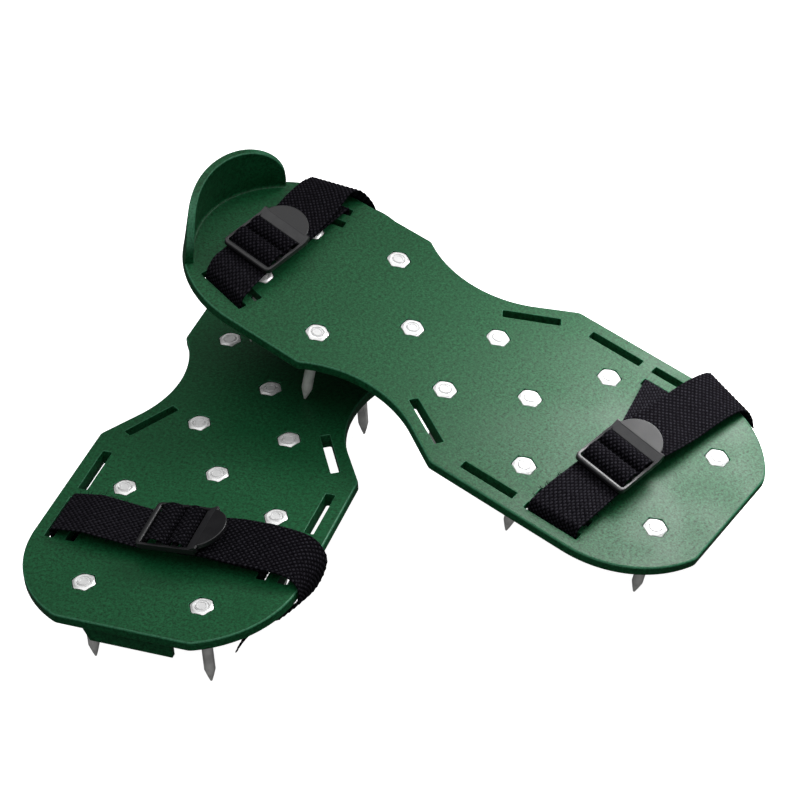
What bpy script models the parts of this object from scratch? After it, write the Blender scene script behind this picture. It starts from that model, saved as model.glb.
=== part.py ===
"""A pair of lawn aerator shoes: moulded soles with steel spikes, hex nuts, webbing straps and buckles.

One shoe stands flat on its spikes, toe along +Y. The other rests across it: its toe spikes stand
on the ground and its front heel spikes stand on the flat shoe's sole. Metres, +Z up, ground at z = 0.

Each shoe is modelled in its own frame: x to the right, y from the heel end to the toe, and z = 0 on
the sole's top face. An empty for each shoe carries that frame into place.
"""

import math

import bmesh
import bpy
from mathutils import Euler, Matrix, Vector

# Sole outline
SOLE_LENGTH = 0.300
SOLE_THICKNESS = 0.005
HEEL_RADIUS = 0.0555
WAIST_START_Y = 0.096
WAIST_RADIUS = 0.055
WAIST_CENTRE = (0.100, 0.129)
BALL_CORNER = (0.0655, 0.177)
BALL_HALF_WIDTH = 0.0658
TOE_ARC_RADIUS = 0.054
TOE_ARC_Y = 0.250
ARC_STEP = math.radians(7.5)
CORNER_ROUNDING = 0.004

# Heel cup
CUP_HEIGHT = 0.0275
CUP_WALL = 0.0038
CUP_HALF_ANGLE = math.radians(47)
CUP_LEAN = 0.0
CUP_FULLNESS = 2.3
CUP_EDGE = 0.0008
CUP_ROOT = 0.0035
CUP_STEPS = 22

# Toe rib, below the front edge
RIB_HALF_WIDTH = 0.022
RIB_THICKNESS = 0.0028
RIB_SETBACK = 0.003
RIB_DEPTH = 0.0145
RIB_CHAMFER = 0.004

# Strap slots: (x, y) of the middle, length direction's lean from the shoe's axis, as on the right side
SLOT_LENGTH = 0.0284
SLOT_WIDTH = 0.0046
HEEL_SLOT_LEAN = math.radians(13.3)
SLOTS = {
    "heel_outer": (0.0416, 0.0417, HEEL_SLOT_LEAN),
    "heel_inner": (0.0322, 0.0440, HEEL_SLOT_LEAN),
    "waist": (0.0457, 0.1616, math.radians(31)),
    "ball": (0.0564, 0.2033, 0.0),
    "toe_outer": (0.0572, 0.2384, 0.0),
    "toe_inner": (0.0468, 0.2384, 0.0),
}

# Spikes and nuts: (x, y) of each position
POSITIONS = {
    "rear_right": (0.0208, 0.0490),
    "rear_left": (-0.0208, 0.0490),
    "heel_right": (0.0340, 0.0913),
    "heel_left": (-0.0340, 0.0913),
    "heel_centre": (0.0, 0.1228),
    "waist_right": (0.0230, 0.1569),
    "waist_left": (-0.0230, 0.1569),
    "ball_centre": (0.0, 0.1898),
    "ball_right": (0.0378, 0.2108),
    "ball_left": (-0.0378, 0.2108),
    "toe_right": (0.0286, 0.2762),
    "toe_left": (-0.0286, 0.2762),
}
SPIKE_DEPTH = 0.0454
THREAD_RADIUS = 0.0030
THREAD_TOP = 0.0010
THREAD_CHAMFER = 0.0005
COLLAR_RADIUS = 0.0045
COLLAR_HEIGHT = 0.0012
SHANK_RADIUS = 0.0026
POINT_LENGTH = 0.0075
POINT_RADIUS = 0.0005
SPIKE_SIDES = 10
NUT_FLATS = 0.0100
NUT_HEIGHT = 0.0040
NUT_TOP = 0.0008
NUT_CHAMFER = 0.0007
NUT_CROWN = 0.94
NUT_BORE_RADIUS = 0.0034
POCKET_FLATS = 0.0108
POCKET_DEPTH = 0.0035
HOLE_RADIUS = 0.0034
GAP = 0.0003

# Buckle, in its own frame: x from the hinge bar to the thumb tab, y across, z up
BUCKLE_WIDTH = 0.0284
BUCKLE_LENGTH = 0.0298
RAIL_WIDTH = 0.0015
RAIL_THICKNESS = 0.0030
RAIL_CORNER = 0.0008
HINGE_BAR_RADIUS = 0.0014
CROSS_BAR_RADIUS = 0.0013
CROSS_BARS = (0.0096, 0.0176)
TAB_START = 0.0240
BUCKLE_STEP = 0.0002
TAB_THICKNESS = 0.0022
TAB_HALF_WIDTH = 0.0120
TAB_RISE = 0.0087
TAB_SLOPE = 0.26
BAR_SIDES = 14

# Webbing
WEB_WIDTH = 0.026
PINCHED_WIDTH = 0.0248
WEB_THICKNESS = 0.0014
BUNCHED_WIDTH = 0.0215
BUNCH_Y = 0.0325
HOOK_RADIUS = 0.0030
SLOT_BEND = 0.0024
RUN_DEPTH = -0.0061
RUN_OFFSET = 0.0004
TAIL_DEPTH = 0.0025
FEED_DEPTH = 0.0036
FEED_START = 0.0185
TAIL_SETBACK = 0.001
HOOK_TURNS = (-25, -50, -75)
CREST_BEND = 0.008
SLOT_ENTRY = 0.0036
SLOT_EXIT = 0.0032
FEED_BEND = 0.004
BEND_STEP = math.radians(22)

# How each strap lies. Points are in the shoe's frame; each tail point is (middle, toe-ward edge direction).
STRAPS = {
    "upper_toe": {
        "slots": ("toe_outer", "toe_inner"),
        "buckle": (0.0275, 0.2428, 0.0100),
        "turns": (7.5, 2.4, 2.5),
        "crest": (0.0440, 0.2405, 0.0062),
        "tail": (
            ((-0.0165, 0.2500, 0.0094), (0.16, 0.98, -0.10)),
            ((-0.0310, 0.2526, 0.0084), (0.17, 0.97, -0.18)),
            ((-0.0500, 0.2560, 0.0078), (0.22, 0.95, -0.16)),
            ((-0.0640, 0.2593, 0.0046), (0.29, 0.95, -0.10)),
            ((-0.0692, 0.2620, -0.0030), (0.26, 0.96, -0.02)),
            ((-0.0700, 0.2645, -0.0112), (0.22, 0.97, 0.08)),
        ),
    },
    "upper_heel": {
        "slots": ("heel_outer", "heel_outer"),
        "buckle": (0.0249, 0.0415, 0.0100),
        "turns": (4.0, 2.2, 1.9),
        "crest": (0.0350, 0.0416, 0.0068),
        "tail": (
            ((-0.0240, 0.0424, 0.0092), (0.06, 0.99, 0.02)),
            ((-0.0360, 0.0412, 0.0092), (0.00, 0.99, 0.12)),
            ((-0.0452, 0.0404, 0.0082), (-0.05, 0.96, 0.24)),
            ((-0.0528, 0.0408, 0.0038), (-0.15, 0.96, 0.18)),
            ((-0.0568, 0.0452, -0.0038), (-0.20, 0.97, 0.08)),
            ((-0.0582, 0.0500, -0.0124), (-0.16, 0.98, 0.10)),
        ),
    },
    "lower_toe": {
        "slots": ("toe_outer", "toe_inner"),
        "buckle": (0.0105, 0.2423, 0.0096),
        "turns": (0.5, 5.8, 2.9),
        "crest": (0.0400, 0.2400, 0.0074),
        "tail": (
            ((-0.0310, 0.2412, 0.0092), (0.00, 0.98, -0.16)),
            ((-0.0480, 0.2410, 0.0090), (0.04, 0.98, -0.16)),
            ((-0.0622, 0.2412, 0.0066), (0.10, 0.98, -0.12)),
            ((-0.0682, 0.2430, -0.0006), (0.14, 0.98, 0.04)),
            ((-0.0652, 0.2456, -0.0112), (0.04, 0.95, 0.30)),
            ((-0.0572, 0.2490, -0.0186), (0.05, 0.88, 0.47)),
            ((-0.0487, 0.2536, -0.0242), (0.05, 0.80, 0.60)),
            ((-0.0398, 0.2589, -0.0291), (-0.06, 0.99, 0.07)),
        ),
    },
    "lower_heel": {
        "slots": ("heel_outer", "heel_outer"),
        "buckle": (0.0249, 0.0410, 0.0100),
        "turns": (0.0, 2.0, 0.0),
        "crest": (0.0350, 0.0414, 0.0068),
        "tail": (
            ((-0.0240, 0.0410, 0.0096), (0.00, 1.00, 0.00)),
            ((-0.0420, 0.0405, 0.0090), (0.00, 1.00, 0.00)),
            ((-0.0545, 0.0400, 0.0048), (0.00, 1.00, 0.00)),
            ((-0.0590, 0.0400, -0.0030), (0.00, 1.00, 0.00)),
            ((-0.0600, 0.0400, -0.0120), (0.00, 1.00, 0.00)),
        ),
    },
}

# Where the shoes stand: heel ends in plan, and the crossing angle
LOWER_HEEL_END = (0.08806, -0.15000)
UPPER_HEEL_OFFSET = (0.0469, 0.0740)
UPPER_TURN = math.radians(75.5)


def clear_scene():
    for obj in list(bpy.data.objects):
        bpy.data.objects.remove(obj, do_unlink=True)


def material(name, colour, roughness, metallic=0.0):
    made = bpy.data.materials.new(name)
    made.use_nodes = True
    shader = made.node_tree.nodes["Principled BSDF"]
    shader.inputs["Base Color"].default_value = (*colour, 1.0)
    shader.inputs["Roughness"].default_value = roughness
    shader.inputs["Metallic"].default_value = metallic
    made.diffuse_color = (*colour, 1.0)
    return made


def green_plastic():
    return material("green_plastic", (0.022, 0.125, 0.055), 0.42)


def zinc_steel():
    return material("zinc_steel", (0.80, 0.80, 0.79), 0.28, 1.0)


def spike_steel():
    return material("spike_steel", (0.42, 0.43, 0.43), 0.36, 1.0)


def black_plastic():
    return material("black_plastic", (0.035, 0.036, 0.040), 0.38)


def black_webbing():
    return material("black_webbing", (0.012, 0.012, 0.014), 0.85)


def mesh_from(bm, name, finish, smooth_angle=None):
    """The finished mesh, with normals out, and smooth where its faces meet below the angle."""
    bmesh.ops.recalc_face_normals(bm, faces=bm.faces)
    mesh = bpy.data.meshes.new(name)
    bm.to_mesh(mesh)
    bm.free()
    mesh.materials.append(finish)
    if smooth_angle is not None:
        mesh.shade_smooth()
        mesh.set_sharp_from_angle(angle=smooth_angle)
    return mesh


def place(name, mesh, parent=None, matrix=None):
    obj = bpy.data.objects.new(name, mesh)
    bpy.context.scene.collection.objects.link(obj)
    if parent is not None:
        obj.parent = parent
    if matrix is not None:
        obj.matrix_local = matrix
    return obj


def joined(obj, tool, operation):
    """Applies a Boolean of the tool object to the object, and removes the tool."""
    step = obj.modifiers.new("shape", "BOOLEAN")
    step.operation = operation
    step.object = tool
    bpy.context.view_layer.update()
    graph = bpy.context.evaluated_depsgraph_get()
    shaped = bpy.data.meshes.new_from_object(obj.evaluated_get(graph))
    obj.modifiers.remove(step)
    obj.data = shaped
    bpy.data.objects.remove(tool, do_unlink=True)


def loft(bm, rings, closed_ends=True):
    """Skins a list of rings with the same number of points."""
    made = [[bm.verts.new(point) for point in ring] for ring in rings]
    count = len(made[0])
    for low, high in zip(made, made[1:]):
        for i in range(count):
            j = (i + 1) % count
            bm.faces.new((low[i], low[j], high[j], high[i]))
    if closed_ends:
        bm.faces.new(made[0][::-1])
        bm.faces.new(made[-1])
    return made


def prism(bm, outline, bottom, top):
    loft(bm, [[(x, y, z) for x, y in outline] for z in (bottom, top)])


def arc(centre, radius, start, end):
    """Points from one angle to the other, both included, no further apart than the arc step."""
    count = max(1, math.ceil(abs(end - start) / ARC_STEP))
    angles = [start + (end - start) * i / count for i in range(count + 1)]
    return [(centre[0] + radius * math.cos(a), centre[1] + radius * math.sin(a)) for a in angles]


def polygon(centre, radius, sides, turn=0.0):
    angles = [turn + 2 * math.pi * i / sides for i in range(sides)]
    return [(centre[0] + radius * math.cos(a), centre[1] + radius * math.sin(a)) for a in angles]


def rounded_corner(before, corner, after, size):
    """Three points in place of a corner, cut back by size along both sides."""
    corner = Vector(corner)
    start = corner + (Vector(before) - corner).normalized() * size
    end = corner + (Vector(after) - corner).normalized() * size
    middle = (start + end + corner * 2) / 4
    return [tuple(start), tuple(middle), tuple(end)]


def half_outline():
    """The right side of the sole, from the heel end's middle to the toe end's middle."""
    heel = arc((0, HEEL_RADIUS), HEEL_RADIUS, -math.pi / 2, 0.0)
    rise = WAIST_START_Y - WAIST_CENTRE[1]
    waist_start = math.pi - math.asin(rise / WAIST_RADIUS)
    to_corner = Vector(BALL_CORNER) - Vector(WAIST_CENTRE)
    tangent = math.acos(WAIST_RADIUS / to_corner.length)
    waist_end = math.atan2(to_corner.y, to_corner.x) + tangent
    waist = arc(WAIST_CENTRE, WAIST_RADIUS, waist_start, waist_end)
    toe_centre = (BALL_HALF_WIDTH - TOE_ARC_RADIUS, TOE_ARC_Y)
    toe = arc(toe_centre, TOE_ARC_RADIUS, 0.0, math.asin((SOLE_LENGTH - TOE_ARC_Y) / TOE_ARC_RADIUS))
    points = heel
    points += rounded_corner(heel[-1], waist[0], waist[1], CORNER_ROUNDING)
    points += waist[1:]
    points += rounded_corner(waist[-1], BALL_CORNER, toe[0], CORNER_ROUNDING)
    points += toe[:-1]
    points += rounded_corner(toe[-2], toe[-1], (0, SOLE_LENGTH), CORNER_ROUNDING)
    return points + [(0, SOLE_LENGTH)]


def sole_outline():
    right = half_outline()
    left = [(-x, y) for x, y in right[-2:0:-1]]
    return right + left


def inset(outline, amount):
    """The outline moved inwards along its own normals."""
    moved = []
    for i, point in enumerate(outline):
        along = Vector(outline[(i + 1) % len(outline)]) - Vector(outline[i - 1])
        inward = Vector((-along.y, along.x)).normalized()
        moved.append(tuple(Vector(point) + inward * amount))
    return moved


def sole_plate():
    """The flat plate with softened top and bottom edges."""
    outline = sole_outline()
    bottom = -SOLE_THICKNESS
    levels = ((bottom, 0.0007), (bottom + 0.0007, 0.0), (-0.0010, 0.0), (-0.0003, 0.0003), (0.0, 0.0010))
    bm = bmesh.new()
    loft(bm, [[(x, y, z) for x, y in inset(outline, amount)] for z, amount in levels])
    return bm


def cup_height(share):
    """Height of the cup's rim, where share runs from 0 in the middle to 1 at either end."""
    return CUP_HEIGHT * max(0.0, 1 - share**CUP_FULLNESS) ** (1 / CUP_FULLNESS)


def cup_section(angle):
    """The cup wall's section at an angle from the heel's middle, as points round it."""
    height = cup_height(abs(angle) / CUP_HALF_ANGLE)
    rise = max(height, CUP_EDGE)
    outer = HEEL_RADIUS - 0.0001
    inner = outer - CUP_WALL
    edge = CUP_EDGE
    section = (
        (outer, -CUP_ROOT),
        (outer + CUP_LEAN * rise, rise - edge),
        (outer + CUP_LEAN * rise - edge, rise),
        (inner + CUP_LEAN * rise + edge, rise),
        (inner + CUP_LEAN * rise, rise - edge),
        (inner, -CUP_ROOT),
    )
    sine, cosine = math.sin(angle), math.cos(angle)
    return [(r * sine, HEEL_RADIUS - r * cosine, z) for r, z in section]


def heel_cup():
    bm = bmesh.new()
    shares = [math.sin(math.pi / 2 * (2 * i / CUP_STEPS - 1)) for i in range(CUP_STEPS + 1)]
    loft(bm, [cup_section(share * CUP_HALF_ANGLE) for share in shares])
    return bm


def toe_rib():
    bm = bmesh.new()
    front = SOLE_LENGTH - RIB_SETBACK
    top = -SOLE_THICKNESS / 2
    profile = (
        (-RIB_HALF_WIDTH, top),
        (-RIB_HALF_WIDTH, -RIB_DEPTH),
        (RIB_HALF_WIDTH - RIB_CHAMFER, -RIB_DEPTH),
        (RIB_HALF_WIDTH, -SOLE_THICKNESS),
        (RIB_HALF_WIDTH, top),
    )
    loft(bm, [[(x, y, z) for x, z in profile] for y in (front - RIB_THICKNESS, front)])
    return bm


def slot_place(name, side):
    """Middle (x, y) and length direction of a slot, on the right (side 1) or the left (side -1)."""
    x, y, lean = SLOTS[name]
    return Vector((side * x, y)), Vector((side * math.sin(lean), math.cos(lean)))


def slot_and_pocket_cutter():
    bm = bmesh.new()
    for name in SLOTS:
        for side in (1, -1):
            middle, along = slot_place(name, side)
            across = Vector((along.y, -along.x))
            half = along * SLOT_LENGTH / 2
            wide = across * SLOT_WIDTH / 2
            corners = [middle - half - wide, middle - half + wide, middle + half + wide, middle + half - wide]
            prism(bm, [tuple(c) for c in corners], -2 * SOLE_THICKNESS, SOLE_THICKNESS)
    pocket_radius = POCKET_FLATS / 2 / math.cos(math.pi / 6)
    for centre in POSITIONS.values():
        prism(bm, polygon(centre, pocket_radius, 6), -POCKET_DEPTH, SOLE_THICKNESS)
    return bm


def hole_cutter():
    bm = bmesh.new()
    for centre in POSITIONS.values():
        prism(bm, polygon(centre, HOLE_RADIUS, SPIKE_SIDES), -2 * SOLE_THICKNESS, -SOLE_THICKNESS / 2)
    return bm


def make_sole(name, finish):
    """The moulding: plate, cup and rib in one, then the openings."""
    sole = place(name, mesh_from(sole_plate(), name, finish))
    for tool, operation in (
        (heel_cup(), "UNION"),
        (toe_rib(), "UNION"),
        (slot_and_pocket_cutter(), "DIFFERENCE"),
        (hole_cutter(), "DIFFERENCE"),
    ):
        joined(sole, place("tool", mesh_from(tool, "tool", finish)), operation)
    sole.data.name = name
    sole.data.shade_smooth()
    sole.data.set_sharp_from_angle(angle=math.radians(32))
    return sole


def spike_mesh(finish):
    """A turned spike: thread through the sole, collar against its underside, shank and point."""
    collar_top = -SOLE_THICKNESS - GAP
    rings = (
        (THREAD_RADIUS - THREAD_CHAMFER, THREAD_TOP),
        (THREAD_RADIUS, THREAD_TOP - THREAD_CHAMFER),
        (THREAD_RADIUS, collar_top),
        (COLLAR_RADIUS, collar_top),
        (COLLAR_RADIUS, collar_top - COLLAR_HEIGHT),
        (SHANK_RADIUS, collar_top - COLLAR_HEIGHT),
        (SHANK_RADIUS, POINT_LENGTH - SPIKE_DEPTH),
        (POINT_RADIUS, -SPIKE_DEPTH),
    )
    bm = bmesh.new()
    loft(bm, [[(x, y, z) for x, y in polygon((0, 0), radius, SPIKE_SIDES)] for radius, z in rings])
    return mesh_from(bm, "spike", finish, math.radians(40))


def nut_ring(radius_of, z_of):
    """Twelve points round a nut, on its corners and the middles of its flats in turn."""
    ring = []
    for i in range(12):
        angle = math.pi * i / 6
        radius = radius_of[i % 2]
        ring.append((radius * math.cos(angle), radius * math.sin(angle), z_of[i % 2]))
    return ring


def nut_mesh(finish):
    """A hex nut with chamfered corners and a plain bore."""
    flat = NUT_FLATS / 2
    corner = flat / math.cos(math.pi / 6)
    bottom = NUT_TOP - NUT_HEIGHT
    shoulder = (NUT_TOP - NUT_CHAMFER, NUT_TOP - NUT_CHAMFER / 5)
    crown = flat * NUT_CROWN
    bore = (NUT_BORE_RADIUS, NUT_BORE_RADIUS)
    bm = bmesh.new()
    rings = loft(
        bm,
        [
            nut_ring(bore, (bottom, bottom)),
            nut_ring((corner, flat), (bottom, bottom)),
            nut_ring((corner, flat), shoulder),
            nut_ring((crown, crown), (NUT_TOP, NUT_TOP)),
            nut_ring(bore, (NUT_TOP, NUT_TOP)),
        ],
        closed_ends=False,
    )
    for i in range(12):
        j = (i + 1) % 12
        bm.faces.new((rings[-1][i], rings[-1][j], rings[0][j], rings[0][i]))
    return mesh_from(bm, "nut", finish, math.radians(20))


def cross_bar(x, radius, half_length):
    bm = bmesh.new()
    section = polygon((x, 0), radius, BAR_SIDES)
    loft(bm, [[(u, y, w) for u, w in section] for y in (-half_length, half_length)])
    return bm


def side_rail(side):
    bm = bmesh.new()
    outer = side * BUCKLE_WIDTH / 2
    inner = outer - side * RAIL_WIDTH
    half = RAIL_THICKNESS / 2
    end = BUCKLE_LENGTH - RAIL_CORNER / 2
    profile = (
        (RAIL_CORNER - half, -half),
        (end, -half),
        (end, half),
        (RAIL_CORNER - half, half),
        (RAIL_CORNER / 2 - half, half - RAIL_CORNER),
        (RAIL_CORNER / 2 - half, RAIL_CORNER - half),
    )
    loft(bm, [[(x, y, z) for x, z in profile] for y in sorted((outer, inner))])
    return bm


def thumb_tab():
    """The end bar and the rounded tab beyond it, rising away from the frame."""
    reach = (TAB_HALF_WIDTH**2 + TAB_RISE**2) / (2 * TAB_RISE)
    sweep = math.asin(TAB_HALF_WIDTH / reach)
    centre = (BUCKLE_LENGTH + TAB_RISE - reach, 0)
    half = BUCKLE_WIDTH / 2 - BUCKLE_STEP
    outline = [(TAB_START, -half), (BUCKLE_LENGTH, -half)]
    outline += arc(centre, reach, -sweep, sweep)
    outline += [(BUCKLE_LENGTH, half), (TAB_START, half)]
    top = RAIL_THICKNESS / 2 - BUCKLE_STEP
    bm = bmesh.new()
    lift = [max(0.0, x - TAB_START) * TAB_SLOPE for x, _ in outline]
    lower = [(x, y, top - TAB_THICKNESS + rise) for (x, y), rise in zip(outline, lift)]
    upper = [(x, y, top + rise) for (x, y), rise in zip(outline, lift)]
    loft(bm, [lower, upper])
    return bm


def buckle_mesh(finish):
    half = BUCKLE_WIDTH / 2
    hinge_bar = cross_bar(0, HINGE_BAR_RADIUS, half - BUCKLE_STEP)
    frame = place("buckle", mesh_from(hinge_bar, "buckle", finish))
    parts = [side_rail(1), side_rail(-1), thumb_tab()]
    parts += [cross_bar(x, CROSS_BAR_RADIUS, half - RAIL_WIDTH / 2) for x in CROSS_BARS]
    for part in parts:
        joined(frame, place("tool", mesh_from(part, "tool", finish)), "UNION")
    mesh = frame.data
    bpy.data.objects.remove(frame, do_unlink=True)
    mesh.name = "buckle"
    mesh.shade_smooth()
    mesh.set_sharp_from_angle(angle=math.radians(40))
    return mesh


def buckle_frame(strap):
    """The buckle's place in the shoe's frame: x from the hinge bar to the tab, z up."""
    yaw, pitch, roll = (math.radians(turn) for turn in strap["turns"])
    turned = Euler((roll, -pitch, math.pi - yaw)).to_matrix().to_4x4()
    return Matrix.Translation(strap["buckle"]) @ turned


def bent_path(stations):
    """Centres, width directions and half widths along straight runs with rounded corners.

    A station is (point, bend radius, width direction, width). Long runs get points between, where
    the width or its direction changes.
    """
    path = []
    for i, (point, radius, wide, width) in enumerate(stations):
        if not radius or i in (0, len(stations) - 1):
            path.append((point, wide, width / 2))
            continue
        back = (stations[i - 1][0] - point).normalized()
        ahead = (stations[i + 1][0] - point).normalized()
        turn = math.pi - back.angle(ahead)
        cut = radius * math.tan(turn / 2)
        middle = point + (back + ahead).normalized() * math.hypot(radius, cut)
        first = point + back * cut - middle
        axis = first.cross(point + ahead * cut - middle).normalized()
        count = max(2, math.ceil(turn / BEND_STEP))
        for k in range(count + 1):
            path.append((middle + Matrix.Rotation(turn * k / count, 3, axis) @ first, wide, width / 2))
    return path


def curve_path(stations, steps):
    """A smooth curve through (point, width direction, width) stations, with equal steps in each span."""
    path = []
    last = len(stations) - 1
    for i in range(last):
        spans = [stations[min(max(k, 0), last)] for k in (i - 1, i, i + 1, i + 2)]
        for step in range(steps if i < last - 1 else steps + 1):
            t = step / steps
            weights = (
                (-t + 2 * t**2 - t**3) / 2,
                (2 - 5 * t**2 + 3 * t**3) / 2,
                (t + 4 * t**2 - 3 * t**3) / 2,
                (t**3 - t**2) / 2,
            )
            point = sum((station[0] * w for station, w in zip(spans, weights)), Vector())
            wide = spans[1][1].lerp(spans[2][1], t).normalized()
            width = spans[1][2] + (spans[2][2] - spans[1][2]) * t
            path.append((point, wide, width / 2))
    return path


def widened(path):
    """The path with each slanting width line lengthened, so that the band keeps its width across its run."""
    lengthened = []
    for i, (point, wide, half) in enumerate(path):
        along = path[min(i + 1, len(path) - 1)][0] - path[max(i - 1, 0)][0]
        lengthened.append((point, wide, half / math.sin(along.angle(wide))))
    return lengthened


def ribbon(path):
    """A flat band of the webbing's thickness along a path."""
    rings = []
    for i, (point, wide, half) in enumerate(path):
        along = path[min(i + 1, len(path) - 1)][0] - path[max(i - 1, 0)][0]
        normal = along.cross(wide).normalized() * WEB_THICKNESS / 2
        side = wide * half
        rings.append([point - side - normal, point + side - normal, point + side + normal, point - side + normal])
    bm = bmesh.new()
    loft(bm, rings)
    return bm


def main_run(strap, frame):
    """Webbing from the hinge bar down one slot, under the sole, up the other and back under the tab."""
    across = -frame.col[1].to_3d()
    near_slot, near_wide = slot_place(strap["slots"][0], 1)
    far_slot, far_wide = slot_place(strap["slots"][1], -1)
    near = near_slot.to_3d() - Vector((RUN_OFFSET, 0, 0))
    far = far_slot.to_3d() + Vector((RUN_OFFSET, 0, 0))
    near_wide, far_wide = near_wide.to_3d(), far_wide.to_3d()
    up = Vector((0, 0, 1))
    hook = [(frame @ Vector((HOOK_RADIUS, 0, 0)), 0.0, across, PINCHED_WIDTH)]
    for degrees in HOOK_TURNS:
        angle = math.radians(degrees)
        point = frame @ Vector((HOOK_RADIUS * math.cos(angle), 0, HOOK_RADIUS * math.sin(angle)))
        hook.append((point, 0.0, across, PINCHED_WIDTH))
    crest = Vector(strap["crest"])
    run = hook + [
        (frame @ Vector((-RAIL_CORNER, 0, -HOOK_RADIUS)), 0.0, across, PINCHED_WIDTH),
        (crest, CREST_BEND, (across + near_wide).normalized(), WEB_WIDTH),
        (near + up * SLOT_ENTRY, SLOT_BEND, near_wide, WEB_WIDTH),
        (near + up * RUN_DEPTH, SLOT_BEND, near_wide, WEB_WIDTH),
    ]
    if strap["slots"][0] == "heel_outer":
        reach = POSITIONS["rear_right"][0] + COLLAR_RADIUS
        for side in (1, -1):
            bunched = Vector((side * reach, BUNCH_Y, RUN_DEPTH))
            run.append((bunched, 0.0, Vector((0, 1, 0)), BUNCHED_WIDTH))
    feed = [frame @ Vector((x, 0, -FEED_DEPTH)) for x in (BUCKLE_LENGTH, FEED_START)]
    run += [
        (far + up * RUN_DEPTH, SLOT_BEND, far_wide, WEB_WIDTH),
        (far + up * SLOT_EXIT, SLOT_BEND, far_wide, WEB_WIDTH),
        (feed[0], FEED_BEND, across, PINCHED_WIDTH),
        (feed[1], 0.0, across, PINCHED_WIDTH),
    ]
    return bent_path(run)


def tail_run(strap, frame):
    """The free end: from under the tab, over the sole's far edge and down."""
    across = -frame.col[1].to_3d()
    starts = [frame @ Vector((x, 0, -TAIL_DEPTH)) for x in (FEED_START + TAIL_SETBACK, BUCKLE_LENGTH)]
    stations = [(start, across, PINCHED_WIDTH) for start in starts]
    stations += [(Vector(point), Vector(wide).normalized(), WEB_WIDTH) for point, wide in strap["tail"]]
    return widened(curve_path(stations, 4))


def make_strap(name, strap, shoe, finish):
    frame = buckle_frame(strap)
    band = place(name, mesh_from(ribbon(main_run(strap, frame)), name, finish), shoe)
    tail = place("tool", mesh_from(ribbon(tail_run(strap, frame)), "tool", finish), shoe)
    joined(band, tail, "UNION")
    band.data.name = name
    band.data.shade_smooth()
    band.data.set_sharp_from_angle(angle=math.radians(40))
    return band


def lower_frame():
    return Matrix.Translation((*LOWER_HEEL_END, SPIKE_DEPTH))


def upper_frame():
    """The crossing shoe: toe spikes on the ground and front heel spikes just clear of the flat sole."""
    heel_y = POSITIONS["heel_right"][1]
    toe_y = POSITIONS["toe_right"][1]
    slope = math.asin((SPIKE_DEPTH + GAP) / (toe_y - heel_y))
    height = SPIKE_DEPTH * math.cos(slope) + (toe_y + POINT_RADIUS) * math.sin(slope)
    x = LOWER_HEEL_END[0] + UPPER_HEEL_OFFSET[0]
    y = LOWER_HEEL_END[1] + UPPER_HEEL_OFFSET[1]
    turn = Matrix.Rotation(UPPER_TURN, 4, "Z") @ Matrix.Rotation(-slope, 4, "X")
    return Matrix.Translation((x, y, height)) @ turn


def make_shoe(prefix, frame, meshes, finishes):
    shoe = place(f"{prefix}_shoe", None)
    shoe.matrix_world = frame
    bpy.context.view_layer.update()
    place(f"{prefix}_sole", meshes["sole"], shoe)
    for spot, (x, y) in POSITIONS.items():
        at = Matrix.Translation((x, y, 0))
        place(f"{prefix}_spike_{spot}", meshes["spike"], shoe, at)
        place(f"{prefix}_nut_{spot}", meshes["nut"], shoe, at)
    for end in ("toe", "heel"):
        strap = STRAPS[f"{prefix}_{end}"]
        place(f"{prefix}_{end}_buckle", meshes["buckle"], shoe, buckle_frame(strap))
        make_strap(f"{prefix}_{end}_strap", strap, shoe, finishes["webbing"])


def main():
    clear_scene()
    green = green_plastic()
    finishes = {"webbing": black_webbing()}
    pattern = make_sole("sole_pattern", green)
    meshes = {
        "sole": pattern.data,
        "spike": spike_mesh(spike_steel()),
        "nut": nut_mesh(zinc_steel()),
        "buckle": buckle_mesh(black_plastic()),
    }
    bpy.data.objects.remove(pattern, do_unlink=True)
    make_shoe("lower", lower_frame(), meshes, finishes)
    make_shoe("upper", upper_frame(), meshes, finishes)


main()
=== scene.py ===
"""Looks for a pair of lawn aerator shoes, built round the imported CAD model.

Each shoe's pieces are modelled in its own frame: x to the right, y from the heel end to the toe, z = 0 on
the sole's top face. Lengths are in metres.
"""

import math

import bmesh
import bpy
import numpy as np
from mathutils import Euler, Matrix, Vector


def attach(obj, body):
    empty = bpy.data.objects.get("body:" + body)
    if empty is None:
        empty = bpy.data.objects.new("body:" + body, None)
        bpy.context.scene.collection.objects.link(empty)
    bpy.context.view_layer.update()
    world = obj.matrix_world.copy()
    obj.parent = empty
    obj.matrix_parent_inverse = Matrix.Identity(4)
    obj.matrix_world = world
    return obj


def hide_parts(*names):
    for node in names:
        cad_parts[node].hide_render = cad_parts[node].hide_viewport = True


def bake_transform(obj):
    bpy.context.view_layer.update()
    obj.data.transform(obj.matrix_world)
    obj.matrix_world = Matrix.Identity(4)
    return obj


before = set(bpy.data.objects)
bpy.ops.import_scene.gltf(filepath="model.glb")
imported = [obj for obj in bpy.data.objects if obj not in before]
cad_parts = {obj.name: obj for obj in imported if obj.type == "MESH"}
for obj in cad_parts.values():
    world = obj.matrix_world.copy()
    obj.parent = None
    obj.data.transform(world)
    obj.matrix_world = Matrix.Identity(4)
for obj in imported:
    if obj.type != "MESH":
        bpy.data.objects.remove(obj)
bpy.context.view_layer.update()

# Sole outline
SOLE_LENGTH = 0.300
SOLE_THICKNESS = 0.005
HEEL_RADIUS = 0.0555
WAIST_START_Y = 0.096
WAIST_RADIUS = 0.055
WAIST_CENTRE = (0.100, 0.129)
BALL_CORNER = (0.0655, 0.177)
BALL_HALF_WIDTH = 0.0658
TOE_ARC_RADIUS = 0.054
TOE_ARC_Y = 0.250
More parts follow.
